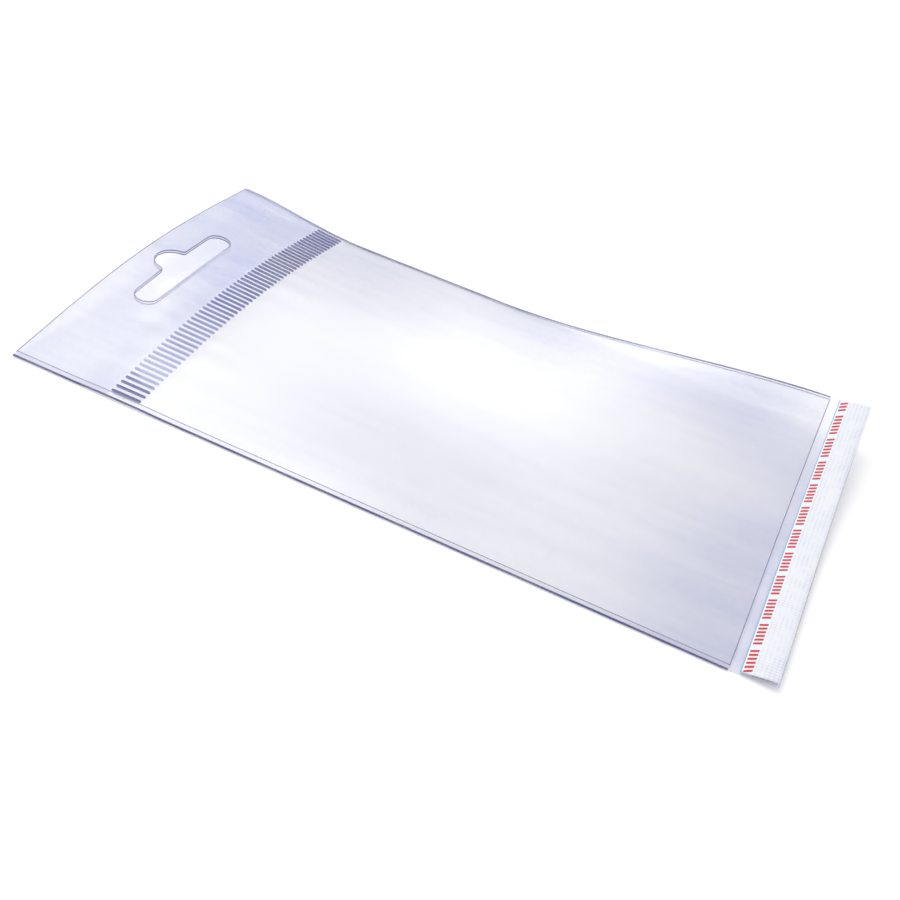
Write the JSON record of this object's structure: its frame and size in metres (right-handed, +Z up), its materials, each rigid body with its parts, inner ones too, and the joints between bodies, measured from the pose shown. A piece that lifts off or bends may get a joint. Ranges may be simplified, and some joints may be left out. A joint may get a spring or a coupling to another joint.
{
  "type": "self-seal bag with hang hole",
  "caption": "Flat clear film header bag with a punched hang hole, a ribbed cross seal, an open mouth and a self-seal flap with adhesive under a release liner.",
  "frame": {"origin": "under the middle of the bag, on the surface it lies on", "axes": "+X along the bag from the header's fold to the flap's edge, +Y across the bag, +Z up from the surface"},
  "size_m": [0.151, 0.085, 0.0098],
  "materials": {
    "clear_film": "glossy clear polypropylene film with a cool tint",
    "clear_adhesive": "clear pressure-sensitive adhesive",
    "printed_liner": "pale release liner with red marks"
  },
  "bodies": {
    "root": {"bag_film": "clear_film", "adhesive_strip": "clear_adhesive", "release_liner": "printed_liner"}
  },
  "joints": []
}
